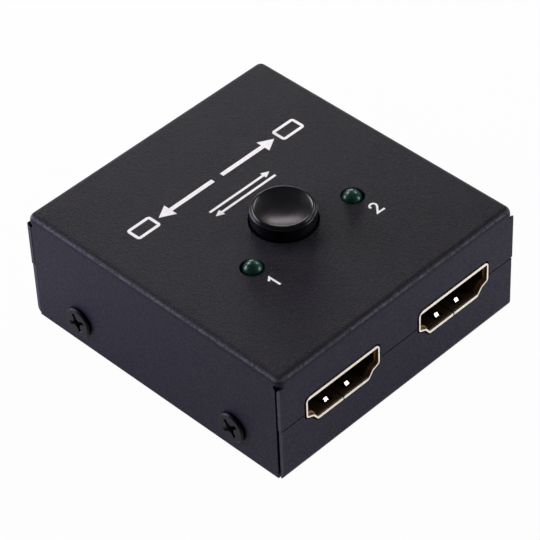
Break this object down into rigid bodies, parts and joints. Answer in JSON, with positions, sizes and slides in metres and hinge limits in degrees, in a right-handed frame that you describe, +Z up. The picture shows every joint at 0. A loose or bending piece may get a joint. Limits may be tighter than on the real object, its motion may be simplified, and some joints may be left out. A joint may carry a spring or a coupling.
{
  "type": "video switch box",
  "caption": "Small black folded-steel switch box with keyed video sockets on two opposite sides, a round latching push button and green indicator lamps on top.",
  "frame": {"origin": "middle of the underside, on the surface the box stands on", "axes": "+Z up; the side with two sockets faces -Y and the single socket faces +Y; X runs across"},
  "size_m": [0.05, 0.0518, 0.0223],
  "materials": {
    "case_paint": "black powder coat on folded steel sheet, fine satin grain",
    "screw_black": "black zinc",
    "board": "green solder mask on glass epoxy",
    "brass": "turned",
    "plated_steel": "nickel plated",
    "gold_plate": "pale gold flash on stamped strip",
    "contact_gold": "gold plated",
    "socket_moulding": "moulded, fine",
    "button_plastic": "glossy moulded",
    "switch_plastic": "moulded",
    "stem_plastic": "moulded, off-white",
    "tinned_copper": "tinned",
    "spring_wire": "drawn wire",
    "lamp_resin": "green tinted clear resin, unlit",
    "chip_resin": "moulded, fine",
    "resistor_ceramic": "glazed ceramic with tinned ends",
    "capacitor_ceramic": "ceramic with tinned ends"
  },
  "bodies": {
    "case": {"top_cover": "case_paint", "bottom_tray": "case_paint", "side_screws": "screw_black", "circuit_board": "board", "board_standoffs": "brass", "board_screws": "plated_steel", "switch_housing": "switch_plastic", "switch_plinth": "switch_plastic", "switch_terminals": "tinned_copper", "switch_spring": "spring_wire", "lamp_1_lens": "lamp_resin", "lamp_2_lens": "lamp_resin", "lamp_1_leads": "tinned_copper", "lamp_2_leads": "tinned_copper", "switching_chips": "chip_resin", "chip_leads": "tinned_copper", "resistors": "resistor_ceramic", "capacitors": "capacitor_ceramic", "front_socket_1_shell": "gold_plate", "front_socket_1_insulator": "socket_moulding", "front_socket_1_contacts": "contact_gold", "front_socket_2_shell": "gold_plate", "front_socket_2_insulator": "socket_moulding", "front_socket_2_contacts": "contact_gold", "back_socket_shell": "gold_plate", "back_socket_insulator": "socket_moulding", "back_socket_contacts": "contact_gold"},
    "button": {"button_cap": "button_plastic", "switch_plunger": "stem_plastic"}
  },
  "joints": [
    {"name": "button_press", "type": "slide", "parent": "case", "child": "button", "axis": [0, 0, -1], "range_m": [0, 0.002], "stiffness_N_per_m": 450, "springref_m": -0.002, "deforming": ["switch_spring"]}
  ]
}
